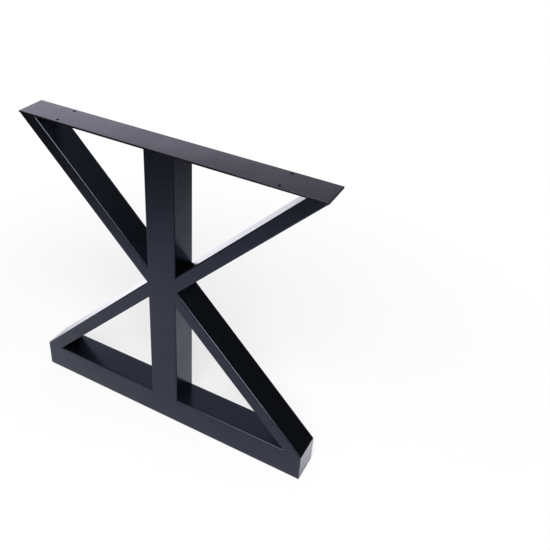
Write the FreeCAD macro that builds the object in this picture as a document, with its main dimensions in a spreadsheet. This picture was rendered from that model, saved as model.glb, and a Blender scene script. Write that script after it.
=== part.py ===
import FreeCAD, Part
import os
import Sketcher
from FreeCAD import Placement, Rotation, Vector

# X shaped table leg: a frame of rectangular steel tubes, welded and ground flush.
# A post stands on a foot rail and carries a flat top plate. Two braces rise from
# the middle of the post to the ends of the plate, and two fall to the ends of the rail.
# Frame: +X along the leg's width, +Y through its depth, +Z up.
# The origin is on the floor, under the middle of the rail.

doc = FreeCAD.newDocument("table_leg")

# Driving dimensions in millimetres
dimensions = [
    ("leg_height", 710.0, "floor to the top of the plate"),
    ("frame_depth", 68.0, "depth of the plate and of every tube"),
    ("plate_length", 700.0, "width of the leg at the top"),
    ("plate_thickness", 4.0, "flat bar of the top plate"),
    ("plate_edge_radius", 0.8, "rounding of the plate's top edges"),
    ("foot_length", 710.0, "width of the leg on the floor, with the end caps"),
    ("rail_height", 70.0, "foot rail tube, upright side"),
    ("post_width", 70.0, "post tube, side along the leg's width"),
    ("brace_width", 30.0, "brace tube, side in the plane of the leg"),
    ("wall_thickness", 2.0, "wall of every tube"),
    ("corner_radius", 3.0, "outer rounding of the tubes' long edges"),
    ("cap_thickness", 3.0, "plates that close the rail's ends"),
    ("crossing_height", 388.0, "floor to where an upper and a lower brace meet"),
    ("crossing_reach", 2.5, "how far outside the post's side the two braces meet"),
    ("hole_diameter", 7.0, "screw holes in the top plate"),
    ("hole_end_distance", 98.0, "hole centre to the nearer end of the plate"),
    ("hole_row_distance", 51.0, "between the front and the back row of holes"),
]
sheet = doc.addObject("Spreadsheet::Sheet", "Sizes")
for row, (alias, size, meaning) in enumerate(dimensions, start=1):
    sheet.set(f"A{row}", meaning)
    sheet.set(f"B{row}", str(size))
    sheet.setAlias(f"B{row}", alias)
doc.recompute()

# Sizes that follow from the driving ones, as expressions
half_depth = "(Sizes.frame_depth / 2)"
half_post = "(Sizes.post_width / 2)"
half_plate = "(Sizes.plate_length / 2)"
half_foot = "(Sizes.foot_length / 2)"
plate_underside = "(Sizes.leg_height - Sizes.plate_thickness)"
rail_length = "(Sizes.foot_length - 2 * Sizes.cap_thickness)"
post_length = f"({plate_underside} - Sizes.rail_height)"
bore_radius = "max(Sizes.corner_radius - Sizes.wall_thickness; Sizes.wall_thickness / 4)"
rounding = "Sizes.corner_radius"
brace_flat = f"(Sizes.brace_width - {rounding})"
crossing_x = f"({half_post} + Sizes.crossing_reach)"

# Brace directions: run along X and rise along Z of the outer edge, above and below the crossing
upper_run = f"({half_plate} - {crossing_x})"
upper_rise = f"({plate_underside} - Sizes.crossing_height)"
lower_run = f"({half_foot} - {crossing_x})"
lower_rise = "(Sizes.crossing_height - Sizes.rail_height)"

y_axis = Vector(0, 1, 0)
sides = {"left": -1, "right": 1}
faces = {"front": -1, "back": 1}
subparts = []


def bind(item, **expressions):
    """Ties properties to the sheet."""
    for name, expression in expressions.items():
        item.setExpression(name, expression)


def place(item, rotation=None, **coordinates):
    """Turns an object and binds its x, y and z place to the sheet."""
    item.Placement = Placement(Vector(0, 0, 0), rotation or Rotation())
    for axis, expression in coordinates.items():
        item.setExpression(f"Placement.Base.{axis}", expression)


def subpart(item, label):
    item.Label = label
    subparts.append(item)
    return item


def origin_plane(body, role):
    return next(plane for plane in body.Origin.OriginFeatures if plane.Role == role)


def sketch_on(body, role, name):
    sketch = body.newObject("Sketcher::SketchObject", name)
    sketch.AttachmentSupport = [(origin_plane(body, role), "")]
    sketch.MapMode = "FlatFace"
    return sketch


def draw_rectangle(sketch, width, height):
    """A rectangle centred on the sketch's origin, its two sides bound to the sheet."""
    corners = [Vector(-1, -1, 0), Vector(1, -1, 0), Vector(1, 1, 0), Vector(-1, 1, 0)]
    for start, end in zip(corners, corners[1:] + corners[:1]):
        sketch.addGeometry(Part.LineSegment(start, end), False)
    for line in range(4):
        sketch.addConstraint(Sketcher.Constraint("Coincident", line, 2, (line + 1) % 4, 1))
    for line, direction in enumerate(["Horizontal", "Vertical", "Horizontal", "Vertical"]):
        sketch.addConstraint(Sketcher.Constraint(direction, line))
    sketch.addConstraint(Sketcher.Constraint("Symmetric", 0, 1, 2, 1, -1, 1))
    across = sketch.addConstraint(Sketcher.Constraint("DistanceX", 0, 1, 0, 2, 2.0))
    upward = sketch.addConstraint(Sketcher.Constraint("DistanceY", 1, 1, 1, 2, 2.0))
    sketch.setExpression(f"Constraints[{across}]", width)
    sketch.setExpression(f"Constraints[{upward}]", height)


def value(expression):
    return float(sheet.evalExpression(expression.replace("Sizes.", "")))


def corner_edges(feature, axis, width, height):
    """Names of the edges along one axis that pass through a centred rectangle's corners."""
    cross_axes = [name for name in "xyz" if name != axis]
    reach = [value(width) / 2, value(height) / 2]
    names = []
    for number, edge in enumerate(feature.Shape.Edges, start=1):
        ends = [vertex.Point for vertex in edge.Vertexes]
        along = abs(getattr(ends[0], axis) - getattr(ends[-1], axis)) > 1e-6
        on_corner = [abs(abs(getattr(point, name)) - distance) < 1e-6
                     for point in ends for name, distance in zip(cross_axes, reach)]
        if along and all(on_corner):
            names.append(f"Edge{number}")
    return names


def round_edges(body, feature, names, radius):
    fillet = body.newObject("PartDesign::Fillet", "Rounding")
    fillet.Base = (feature, names)
    bind(fillet, Radius=radius)
    doc.recompute()
    return fillet


def rounded_bar(name, role, axis, width, height, length):
    """A body with a rectangular section, padded both ways along one axis, its long edges rounded."""
    body = doc.addObject("PartDesign::Body", name)
    outline = sketch_on(body, role, "Outline")
    draw_rectangle(outline, width, height)
    bar = body.newObject("PartDesign::Pad", "Bar")
    bar.Profile = outline
    bar.SideType = "Symmetric"
    bind(bar, Length=length)
    doc.recompute()
    round_edges(body, bar, corner_edges(bar, axis, width, height), rounding)
    return body


def tube(name, role, axis, width, height, length):
    """A rounded bar with a bore that leaves the wall, its inner long edges rounded too."""
    body = rounded_bar(name, role, axis, width, height, length)
    solid_volume = body.Shape.Volume
    bore_width = f"({width} - 2 * Sizes.wall_thickness)"
    bore_height = f"({height} - 2 * Sizes.wall_thickness)"
    bore_outline = sketch_on(body, role, "BoreOutline")
    draw_rectangle(bore_outline, bore_width, bore_height)
    bore = body.newObject("PartDesign::Pocket", "Bore")
    bore.Profile = bore_outline
    bore.Type = "ThroughAll"
    bore.SideType = "Symmetric"
    doc.recompute()
    if body.Shape.Volume > 0.5 * solid_volume:
        raise RuntimeError(f"{name}: the bore did not cut")
    round_edges(body, bore, corner_edges(bore, axis, bore_width, bore_height), bore_radius)
    return body


def foot_rail():
    rail = tube("FootRail", "YZ_Plane", "x", "Sizes.frame_depth", "Sizes.rail_height", rail_length)
    place(rail, z="Sizes.rail_height / 2")
    return subpart(rail, "foot_rail")


def end_cap(side):
    cap = rounded_bar(f"{side.title()}EndCap", "YZ_Plane", "x", "Sizes.frame_depth",
                      "Sizes.rail_height", "Sizes.cap_thickness")
    place(cap, x=f"{sides[side]} * ({half_foot} - Sizes.cap_thickness / 2)", z="Sizes.rail_height / 2")
    return subpart(cap, f"{side}_end_cap")


def centre_post():
    post = tube("CentrePost", "XY_Plane", "z", "Sizes.post_width", "Sizes.frame_depth", post_length)
    place(post, z=f"Sizes.rail_height + {post_length} / 2")
    return subpart(post, "centre_post")


def brace(level, side):
    """A slanted tube, mitred by the space between the post, the other brace and the plate or rail."""
    upward = 1 if level == "upper" else -1
    outward = sides[side]
    run, rise = (upper_run, upper_rise) if level == "upper" else (lower_run, lower_rise)
    outer_length = f"hypot({run}; {rise})"
    name = level.title() + side.title()

    stock = tube(f"{name}Stock", "XY_Plane", "z", "Sizes.brace_width", "Sizes.frame_depth",
                 f"({outer_length} + 4 * Sizes.brace_width)")
    middle_x = f"({crossing_x} + {run} / 2 - Sizes.brace_width / 2 * {rise} / {outer_length})"
    middle_z = f"(Sizes.crossing_height + {upward} * ({rise} / 2 + Sizes.brace_width / 2 * {run} / {outer_length}))"
    place(stock, Rotation(y_axis, 1), x=f"{outward} * {middle_x}", z=middle_z)
    stock.setExpression("Placement.Rotation.Angle", f"{outward * upward} * atan2({run}; {rise})")

    space = doc.addObject("Part::Box", f"{name}Space")
    space_length = f"({crossing_x} + {run} - {half_post} + Sizes.brace_width)"
    bind(space, Length=space_length, Width="2 * Sizes.frame_depth", Height=rise)
    low_x = half_post if outward > 0 else f"-({half_post} + {space_length})"
    low_z = "Sizes.crossing_height" if upward > 0 else "Sizes.rail_height"
    place(space, x=low_x, y="-Sizes.frame_depth", z=low_z)

    mitred = doc.addObject("Part::Common", f"{name}Brace")
    mitred.Base = stock
    mitred.Tool = space
    return subpart(mitred, f"{level}_{side}_brace")


def top_plate():
    body = doc.addObject("PartDesign::Body", "TopPlate")
    outline = sketch_on(body, "XY_Plane", "Outline")
    draw_rectangle(outline, "Sizes.plate_length", "Sizes.frame_depth")
    bar = body.newObject("PartDesign::Pad", "Bar")
    bar.Profile = outline
    bind(bar, Length="Sizes.plate_thickness")
    doc.recompute()

    top = value("Sizes.plate_thickness")
    top_edges = [f"Edge{number}" for number, edge in enumerate(bar.Shape.Edges, start=1)
                 if all(abs(vertex.Point.z - top) < 1e-6 for vertex in edge.Vertexes)]
    round_edges(body, bar, top_edges, "Sizes.plate_edge_radius")
    plain_volume = body.Shape.Volume

    centres = sketch_on(body, "XY_Plane", "HoleCentres")
    centres.setExpression("AttachmentOffset.Base.z", "Sizes.plate_thickness")
    for outward in sides.values():
        for backward in faces.values():
            circle = centres.addGeometry(Part.Circle(Vector(outward, backward, 0), Vector(0, 0, 1), 0.5), False)
            x_place = centres.addConstraint(Sketcher.Constraint("DistanceX", -1, 1, circle, 3, outward))
            y_place = centres.addConstraint(Sketcher.Constraint("DistanceY", -1, 1, circle, 3, backward))
            width = centres.addConstraint(Sketcher.Constraint("Diameter", circle, 1.0))
            centres.setExpression(f"Constraints[{x_place}]", f"{outward} * ({half_plate} - Sizes.hole_end_distance)")
            centres.setExpression(f"Constraints[{y_place}]", f"{backward} * Sizes.hole_row_distance / 2")
            centres.setExpression(f"Constraints[{width}]", "Sizes.hole_diameter")
    doc.recompute()
    holes = body.newObject("PartDesign::Hole", "ScrewHoles")
    holes.Profile = centres
    holes.DepthType = "ThroughAll"
    bind(holes, Diameter="Sizes.hole_diameter")
    doc.recompute()
    if body.Shape.Volume >= plain_volume:
        raise RuntimeError("top_plate: the holes did not cut")
    place(body, z=plate_underside)
    return subpart(body, "top_plate")


def weld(block, edge_length, edge_rotation, edge_place, label):
    """Weld metal in the groove over a tube's rounded long edge: a block less the rounding."""
    edge = doc.addObject("Part::Cylinder", f"{block.Name}Edge")
    bind(edge, Radius=rounding, Height=edge_length)
    place(edge, edge_rotation, **edge_place)
    metal = doc.addObject("Part::Cut", f"{block.Name}Metal")
    metal.Base = block
    metal.Tool = edge
    return subpart(metal, label)


def crossing_weld(face, side):
    """Fills the groove between the post's rounded corner and the ends of two braces."""
    outward, backward = sides[side], faces[face]

    def seam_end(x, run, rise):
        """Height above or below the crossing at which a brace's flat front ends, at a distance x."""
        return f"(({x} - {crossing_x}) * {rise} / {run} + {brace_flat} * hypot({run}; {rise}) / {run})"

    inner_x = f"({half_post} - {rounding})"
    block = doc.addObject("Part::Wedge", f"{face.title()}{side.title()}Crossing")
    low, high = ((half_depth + f" - {rounding}", half_depth) if backward * outward < 0
                 else (f"-{half_depth}", f"-{half_depth} + {rounding}"))
    bind(block, Ymin=inner_x, Ymax=half_post, Xmin=low, Xmax=high, X2min=low, X2max=high,
         Zmin=f"Sizes.crossing_height - {seam_end(inner_x, lower_run, lower_rise)}",
         Z2min=f"Sizes.crossing_height - {seam_end(half_post, lower_run, lower_rise)}",
         Zmax=f"Sizes.crossing_height + {seam_end(inner_x, upper_run, upper_rise)}",
         Z2max=f"Sizes.crossing_height + {seam_end(half_post, upper_run, upper_rise)}")
    block.Placement = Placement(Vector(0, 0, 0), Rotation(Vector(0, 0, 1), -90 * outward))
    edge_place = {"x": f"{outward} * {inner_x}", "y": f"{backward} * ({half_depth} - {rounding})",
                  "z": "Sizes.rail_height"}
    return weld(block, post_length, Rotation(), edge_place, f"{face}_{side}_crossing_weld")


def rail_edge_place(backward):
    return {"x": f"-{half_foot}", "y": f"{backward} * ({half_depth} - {rounding})",
            "z": f"Sizes.rail_height - {rounding}"}


def post_foot_weld(face):
    """Fills the groove between the rail's rounded edge and the foot of the post."""
    backward = faces[face]
    block = doc.addObject("Part::Box", f"{face.title()}PostFoot")
    bind(block, Length=f"2 * ({half_post} - {rounding})", Width=rounding, Height=rounding)
    low_y = f"-{half_depth}" if backward < 0 else f"{half_depth} - {rounding}"
    place(block, x=f"-({half_post} - {rounding})", y=low_y, z=f"Sizes.rail_height - {rounding}")
    return weld(block, "Sizes.foot_length", Rotation(y_axis, 90), rail_edge_place(backward),
                f"{face}_post_foot_weld")


def brace_foot_weld(face, side):
    """Fills the groove between the rail's rounded edge and the foot of a lower brace."""
    outward, backward = sides[side], faces[face]
    slant = f"hypot({lower_run}; {lower_rise}) / {lower_rise}"
    spread = f"{rounding} * {lower_run} / {lower_rise}"
    near = f"({half_foot} - {brace_flat} * {slant})"
    far = f"({half_foot} - {rounding} * {slant})"
    block = doc.addObject("Part::Wedge", f"{face.title()}{side.title()}BraceFoot")
    low_z, high_z = ((half_depth + f" - {rounding}", half_depth) if backward < 0
                     else (f"-{half_depth}", f"-{half_depth} + {rounding}"))
    bottom = [f"({near} + {spread})", f"({far} + {spread})"]
    top = [near, far]
    if outward < 0:
        bottom = [f"-{x}" for x in reversed(bottom)]
        top = [f"-{x}" for x in reversed(top)]
    bind(block, Ymin=f"Sizes.rail_height - {rounding}", Ymax="Sizes.rail_height",
         Xmin=bottom[0], Xmax=bottom[1], X2min=top[0], X2max=top[1],
         Zmin=low_z, Zmax=high_z, Z2min=low_z, Z2max=high_z)
    block.Placement = Placement(Vector(0, 0, 0), Rotation(Vector(1, 0, 0), 90))
    return weld(block, "Sizes.foot_length", Rotation(y_axis, 90), rail_edge_place(backward),
                f"{face}_{side}_brace_foot_weld")


top_plate()
centre_post()
foot_rail()
for side in sides:
    end_cap(side)
    for level in ("upper", "lower"):
        brace(level, side)
for face in faces:
    post_foot_weld(face)
    for side in sides:
        crossing_weld(face, side)
        brace_foot_weld(face, side)
doc.recompute()

for item in doc.Objects:
    if "Invalid" in item.State or "Error" in item.State:
        raise RuntimeError(f"{item.Label} did not compute: {item.State}")
for item in subparts:
    if item.Shape.isNull() or not item.Shape.isValid():
        raise RuntimeError(f"{item.Label} has no sound shape")

os.makedirs("parts", exist_ok=True)
for item in subparts:
    item.Shape.exportStep(f"parts/{item.Label}.step")
    box = item.Shape.BoundBox
    print(f"{item.Label}: {len(item.Shape.Solids)} solid, {item.Shape.Volume:.1f} mm3, "
          f"x {box.XMin:.2f} to {box.XMax:.2f}, y {box.YMin:.2f} to {box.YMax:.2f}, z {box.ZMin:.2f} to {box.ZMax:.2f}")
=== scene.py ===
import math

import bmesh
import bpy
from mathutils import Matrix, Vector

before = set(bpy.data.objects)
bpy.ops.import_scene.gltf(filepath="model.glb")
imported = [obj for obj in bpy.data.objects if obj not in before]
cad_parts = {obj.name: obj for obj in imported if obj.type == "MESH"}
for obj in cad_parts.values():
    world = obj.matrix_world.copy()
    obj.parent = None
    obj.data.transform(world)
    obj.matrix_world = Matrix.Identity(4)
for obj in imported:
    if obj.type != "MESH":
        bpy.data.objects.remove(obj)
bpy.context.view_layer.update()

# x shaped table leg, welded steel tube under a satin black powder coat, on white studio paper
scene = bpy.context.scene
millimetre = 0.001


class Wire:
    # one socket of a node tree, where sums and products add Math nodes
    def __init__(self, tree, socket=None):
        self.tree = tree
        self.socket = socket

    def node(self, kind, settings=None, sockets=None, output=0):
        made = self.tree.nodes.new(kind)
        for name, setting in (settings or {}).items():
            setattr(made, name, setting)
        for name, value in (sockets or {}).items():
            target = findSocket(made.inputs, name)
            if isinstance(value, Wire):
                self.tree.links.new(value.socket, target)
            else:
                target.default_value = value
        return Wire(self.tree, findSocket(made.outputs, output) if len(made.outputs) else None)

    def math(self, operation, first, second=0.0):
        return self.node("ShaderNodeMath", {"operation": operation}, {0: first, 1: second})

    def __add__(self, other):
        return self.math("ADD", self, other)

    def __sub__(self, other):
        return self.math("SUBTRACT", self, other)

    def __rsub__(self, other):
        return self.math("SUBTRACT", other, self)

    def __mul__(self, other):
        return self.math("MULTIPLY", self, other)

    def __truediv__(self, other):
        return self.math("DIVIDE", self, other)

    def __rtruediv__(self, other):
        return self.math("DIVIDE", other, self)

    def __pow__(self, other):
        return self.math("POWER", self, other)

    __radd__ = __add__
    __rmul__ = __mul__


def findSocket(sockets, name):
    if isinstance(name, int):
        return sockets[name]
    return next(socket for socket in sockets if name in (socket.identifier, socket.name))


def newMaterial(name):
    material = bpy.data.materials.new(name)
    material.use_nodes = True
    material.node_tree.nodes.clear()
    return material, Wire(material.node_tree)


def noise(tree, place, size, detail=2.0, roughness=0.5):
    # cloudy pattern with blotches of about the given size in metres, from 0 to 1
    return tree.node("ShaderNodeTexNoise", {"noise_dimensions": "3D"},
                     {"Vector": place, "Scale": 1 / size, "Detail": detail, "Roughness": roughness})


def swing(pattern):
    # how far a noise pattern is from its mean
    return pattern - 0.5


def powderCoat(name, coat):
    material, tree = newMaterial(name)
    place = tree.node("ShaderNodeTexCoord", output="Object")

    # the film's cure drifts over centimetres, its peel over two millimetres, and the steel waves under it
    drift = noise(tree, place, coat["driftSize"], detail=3.0, roughness=0.55)
    grain = noise(tree, place, coat["grainSize"], detail=2.0, roughness=0.6)
    peel = noise(tree, place, coat["peelSize"], detail=1.0, roughness=0.4)
    sanding = noise(tree, place, coat["sandingSize"], detail=2.0, roughness=0.5)
    wave = noise(tree, place, coat["waveSize"], detail=1.0, roughness=0.4)

    lightness = drift * coat["driftShade"] + grain * (1 - coat["driftShade"])
    shade = tree.node("ShaderNodeMix", {"data_type": "RGBA"},
                      {"Factor_Float": lightness, "A_Color": (*coat["dark"], 1),
                       "B_Color": (*coat["light"], 1)}, "Result_Color")
    rough = coat["roughness"] + swing(drift) * coat["driftRough"] + swing(grain) * coat["grainRough"]
    gloss = coat["gloss"] + swing(drift) * coat["driftGloss"]
    film = peel * coat["peelDepth"] + grain * coat["grainDepth"]
    steel = wave * coat["waveDepth"] + sanding * coat["sandingDepth"]
    bump = tree.node("ShaderNodeBump", {},
                     {"Strength": 1.0, "Distance": millimetre, "Height": film + steel})
    finish = tree.node("ShaderNodeBsdfPrincipled", {},
                       {"Base Color": shade, "Roughness": rough, "Normal": bump, "IOR": coat["ior"],
                        "Specular IOR Level": coat["specular"], "Specular Tint": (*coat["tint"], 1),
                        "Coat Weight": gloss, "Coat Roughness": coat["glossRoughness"]})
    tree.node("ShaderNodeOutputMaterial", {}, {"Surface": finish})
    return material


def dress(nodeNames, material):
    for nodeName in nodeNames:
        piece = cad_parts[nodeName]
        piece.data.materials.clear()
        piece.data.materials.append(material)


# depths are in millimetres, the other lengths in metres
tubeCoat = {
    "dark": (0.0015, 0.0017, 0.0022),
    "light": (0.0030, 0.0033, 0.0043),
    "driftShade": 0.7,
    "roughness": 0.21,
    "driftRough": 0.04,
    "grainRough": 0.04,
    "gloss": 0.12,
    "driftGloss": 0.35,
    "glossRoughness": 0.15,
    "driftSize": 0.045,
    "grainSize": 0.0005,
    "grainDepth": 0.0006,
    "peelSize": 0.0021,
    "peelDepth": 0.0035,
    "waveSize": 0.055,
    "waveDepth": 0.22,
    "sandingSize": 0.006,
    "sandingDepth": 0.0,
    "ior": 1.6,
    "specular": 0.64,
    "tint": (0.54, 0.67, 1.0),
}
plateCoat = {**tubeCoat, "tint": (0.74, 0.72, 1.0), "roughness": 0.22, "driftSize": 0.085,
             "peelSize": 0.0024, "waveSize": 0.060, "waveDepth": 0.40}
weldCoat = {**tubeCoat, "roughness": 0.25, "sandingDepth": 0.03}

tubeNodes = [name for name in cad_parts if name.endswith(("brace", "post", "rail", "cap"))]
weldNodes = [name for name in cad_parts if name.endswith("weld")]
dress(tubeNodes, powderCoat("tubeCoat", tubeCoat))
dress(["top_plate"], powderCoat("plateCoat", plateCoat))
dress(weldNodes, powderCoat("weldCoat", weldCoat))
print("powder coat:", len(tubeNodes), "tubes and caps, 1 plate,", len(weldNodes), "welds")


# white paper with pools of light that only mirrors see: each has a centre, a reach in metres, the power of
# its fall and a glow, which takes light away where it is below zero
paper = {
    "size": 12.0,
    "colour": (0.95, 0.95, 0.95),
    "roughness": 0.5,
    "grainSize": 0.004,
    "grainContrast": 0.05,
    "shadowShare": 0.33,
    "shadowInner": 0.5,
    "shadowOuter": 1.3,
    "glowColour": (0.95, 0.93, 1.0),
    "glow": 0.04,
    "pools": {
        "underneath": {"centre": (0, 0, 0), "reach": 0.92, "fall": 5.0, "glow": 0.60},
        "shadow": {"centre": (0.05, -0.12, 0), "reach": 0.28, "fall": 4.0, "glow": -0.14},
        "shadowLeft": {"centre": (-0.37, -0.06, 0), "reach": 0.20, "fall": 4.0, "glow": -0.16},
        "backLeft": {"centre": (-0.88, 1.05, 0), "reach": 1.00, "fall": 8.0, "glow": 1.58},
        "rightEnd": {"centre": (0.50, 0.16, 0), "reach": 0.205, "fall": 9.0, "glow": 0.76},
        "backRight": {"centre": (0.30, 0.52, 0), "reach": 0.30, "fall": 4.0, "glow": -0.23},
    },
}


def pool(tree, place, spot):
    offset = tree.node("ShaderNodeVectorMath", {"operation": "DISTANCE"},
                       {0: place, 1: spot["centre"]}, "Value")
    return spot["glow"] / ((offset / spot["reach"]) ** spot["fall"] + 1)


def paperMaterial():
    material, tree = newMaterial("studioPaper")
    place = tree.node("ShaderNodeTexCoord", output="Object")
    ray = tree.node("ShaderNodeLightPath", output="Is Camera Ray")
    glossy = tree.node("ShaderNodeLightPath", output="Is Glossy Ray")

    glow = sum((pool(tree, place, spot) for spot in paper["pools"].values()), paper["glow"])
    distance = tree.node("ShaderNodeVectorMath", {"operation": "LENGTH"}, {0: place}, "Value")
    nearby = tree.node("ShaderNodeMapRange", {"interpolation_type": "SMOOTHSTEP"},
                       {"Value": distance, "From Min": paper["shadowInner"], "From Max": paper["shadowOuter"],
                        "To Min": paper["shadowShare"], "To Max": 0.0})
    grain = swing(noise(tree, place, paper["grainSize"])) * paper["grainContrast"]
    matt = tree.node("ShaderNodeBsdfDiffuse", {},
                     {"Color": (*paper["colour"], 1), "Roughness": paper["roughness"]})
    white = tree.node("ShaderNodeEmission", {}, {"Color": (1, 1, 1, 1), "Strength": 1.0})
    seen = tree.node("ShaderNodeMixShader", {}, {"Fac": nearby * (1 + grain), 1: white, 2: matt})
    lit = tree.node("ShaderNodeEmission", {}, {"Color": (*paper["glowColour"], 1), "Strength": glow})
    plain = tree.node("ShaderNodeMixShader", {}, {"Fac": glossy, 1: matt, 2: lit})
    both = tree.node("ShaderNodeMixShader", {}, {"Fac": ray, 1: plain, 2: seen})
    tree.node("ShaderNodeOutputMaterial", {}, {"Surface": both})
    return material


def layPaper():
    sheet = bmesh.new()
    bmesh.ops.create_grid(sheet, x_segments=1, y_segments=1, size=paper["size"] / 2)
    mesh = bpy.data.meshes.new("studioPaper")
    sheet.to_mesh(mesh)
    sheet.free()
    floor = bpy.data.objects.new("studioPaper", mesh)
    scene.collection.objects.link(floor)
    mesh.materials.append(paperMaterial())


# the room is white to the camera, and in the coat a dim grey that darkens towards its back right, between
# two cosines to the darkest way
room = {
    "colour": (0.93, 0.93, 1.0),
    "dim": 0.36,
    "darkWay": (0.709, 0.689, 0.152),
    "darkFrom": 0.70,
    "darkTo": 0.97,
    "darkShare": 0.92,
}


def whiteRoom():
    world = bpy.data.worlds.new("studioRoom")
    scene.world = world
    world.use_nodes = True
    world.node_tree.nodes.clear()
    tree = Wire(world.node_tree)
    ray = tree.node("ShaderNodeLightPath", output="Is Camera Ray")
    way = tree.node("ShaderNodeTexCoord", output="Generated")
    cosine = tree.node("ShaderNodeVectorMath", {"operation": "DOT_PRODUCT"},
                       {0: way, 1: room["darkWay"]}, "Value")
    light = tree.node("ShaderNodeMapRange", {"interpolation_type": "SMOOTHSTEP"},
                      {"Value": cosine, "From Min": room["darkFrom"], "From Max": room["darkTo"],
                       "To Min": room["dim"], "To Max": room["dim"] * (1 - room["darkShare"])})
    dim = tree.node("ShaderNodeBackground", {}, {"Color": (*room["colour"], 1), "Strength": light})
    white = tree.node("ShaderNodeBackground", {}, {"Color": (1, 1, 1, 1), "Strength": 1.0})
    both = tree.node("ShaderNodeMixShader", {}, {"Fac": ray, 1: dim, 2: white})
    tree.node("ShaderNodeOutputWorld", {}, {"Surface": both})


layPaper()
whiteRoom()
print("paper and room")


# the key and the back softbox light the leg, and the edge softboxes only draw lines along its rounded edges
# places and sizes are in metres and powers in watts
softboxes = {
    "key": {"place": (0.90, -1.60, 2.60), "aim": (0, 0, 0.35), "size": (1.6, 1.6),
            "power": 80, "colour": (1, 1, 1), "lights": True, "mirrored": False},
    "backLeft": {"place": (-1.66, 2.50, 1.50), "aim": (0, 0, 0.6), "size": (2.9, 1.25),
                 "power": 13, "colour": (0.88, 0.87, 1), "lights": True, "mirrored": True},
    "edgeTop": {"place": (0.46, -1.70, 2.78), "aim": (0, 0, 0.35), "size": (3.3, 1.3),
                "power": 125, "colour": (1, 0.90, 0.74), "lights": False, "mirrored": True},
    "edgeRight": {"place": (2.52, -0.55, 1.67), "aim": (0, 0, 0.35), "size": (0.74, 0.80),
                  "power": 37, "colour": (1, 0.90, 0.74), "lights": False, "mirrored": True},
}


def facing(place, target):
    # turn of a lamp or camera at place that looks at the target
    return (Vector(target) - Vector(place)).to_track_quat("-Z", "Y").to_matrix().to_4x4()


def hangSoftbox(name, box):
    lamp = bpy.data.lights.new(name, "AREA")
    lamp.shape = "RECTANGLE"
    lamp.size, lamp.size_y = box["size"]
    lamp.energy = box["power"]
    lamp.color = box["colour"]
    holder = bpy.data.objects.new(name, lamp)
    holder.matrix_world = Matrix.Translation(box["place"]) @ facing(box["place"], box["aim"])
    holder.visible_camera = False
    holder.visible_diffuse = box["lights"]
    holder.visible_glossy = box["mirrored"]
    scene.collection.objects.link(holder)


for name, box in softboxes.items():
    hangSoftbox(name, box)
print("softboxes:", len(softboxes))


# the camera looks down on the leg's right front with a slight roll in degrees, and its frame is shifted so
# that the lens axis meets it at a pixel counted from its top left
camera = {
    "place": (0.69881, -1.01428, 1.31141),
    "lookAt": (-0.02811, 0.33030, 0.355),
    "roll": 2.1857,
    "lens": 46.333,
    "sensor": 36.0,
    "frame": 550,
    "axis": (234, 220.5),
}


def setCamera():
    lens = bpy.data.cameras.new("camera")
    lens.lens = camera["lens"]
    lens.sensor_width = camera["sensor"]
    lens.shift_x = (camera["frame"] / 2 - camera["axis"][0]) / camera["frame"]
    lens.shift_y = (camera["axis"][1] - camera["frame"] / 2) / camera["frame"]
    holder = bpy.data.objects.new("camera", lens)
    turn = facing(camera["place"], camera["lookAt"])
    roll = Matrix.Rotation(math.radians(camera["roll"]), 4, "Z")
    holder.matrix_world = Matrix.Translation(camera["place"]) @ turn @ roll
    scene.collection.objects.link(holder)
    scene.camera = holder


setCamera()
scene.view_settings.view_transform = "Standard"
print("camera")
